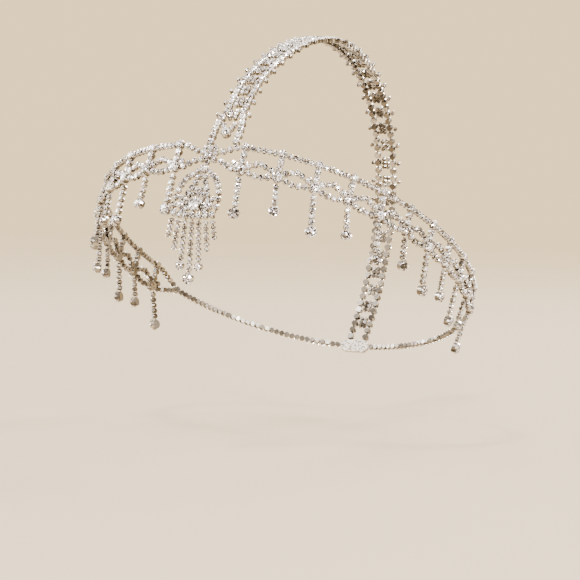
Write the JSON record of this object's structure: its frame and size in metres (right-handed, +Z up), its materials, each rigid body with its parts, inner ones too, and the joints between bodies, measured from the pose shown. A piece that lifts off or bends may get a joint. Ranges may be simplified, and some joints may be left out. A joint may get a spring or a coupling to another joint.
{
  "type": "flapper headband",
  "caption": "Head chain of stones set in metal cups: a band of three linked chains round the head with hanging drops, a fringed forehead pendant and a ladder strap over the crown.",
  "frame": {"origin": "centre of the band ring, where the head sits in it", "axes": "+Z up on a head held level, the face looks along -Y, +X is the wearer's left"},
  "size_m": [0.1736, 0.2254, 0.1523],
  "materials": {
    "stone_chain": "silver-plated cups set with clear cut glass stones",
    "clasp_metal": "plain polished silver plating"
  },
  "bodies": {
    "root": {"knot": "stone_chain", "upper_chain_left": "stone_chain", "upper_chain_right": "stone_chain", "middle_chains_left": "stone_chain", "middle_chains_right": "stone_chain", "lower_chain_left": "stone_chain", "lower_chain_right": "stone_chain", "post_left_1": "stone_chain", "post_left_2": "stone_chain", "post_left_3": "stone_chain", "post_left_4": "stone_chain", "post_left_5": "stone_chain", "post_left_6": "stone_chain", "post_left_7": "stone_chain", "post_left_8": "stone_chain", "post_left_9": "stone_chain", "post_left_10": "stone_chain", "post_left_11": "stone_chain", "post_right_1": "stone_chain", "post_right_2": "stone_chain", "post_right_3": "stone_chain", "post_right_4": "stone_chain", "post_right_5": "stone_chain", "post_right_6": "stone_chain", "post_right_7": "stone_chain", "post_right_8": "stone_chain", "post_right_9": "stone_chain", "post_right_10": "stone_chain", "post_right_11": "stone_chain", "drop_left_1": "stone_chain", "drop_left_2": "stone_chain", "drop_left_3": "stone_chain", "drop_left_4": "stone_chain", "drop_left_5": "stone_chain", "drop_left_6": "stone_chain", "drop_left_7": "stone_chain", "drop_left_8": "stone_chain", "drop_left_9": "stone_chain", "drop_left_10": "stone_chain", "drop_left_11": "stone_chain", "drop_right_1": "stone_chain", "drop_right_2": "stone_chain", "drop_right_3": "stone_chain", "drop_right_4": "stone_chain", "drop_right_5": "stone_chain", "drop_right_6": "stone_chain", "drop_right_7": "stone_chain", "drop_right_8": "stone_chain", "drop_right_9": "stone_chain", "drop_right_10": "stone_chain", "drop_right_11": "stone_chain", "pendant_hanger": "stone_chain", "pendant_bell": "stone_chain", "fringe_chains": "stone_chain", "fringe_stones": "stone_chain", "crown_rail_left": "stone_chain", "crown_rail_right": "stone_chain", "crown_rungs": "stone_chain", "chain_joins": "stone_chain", "back_clasp": "clasp_metal"}
  },
  "joints": []
}
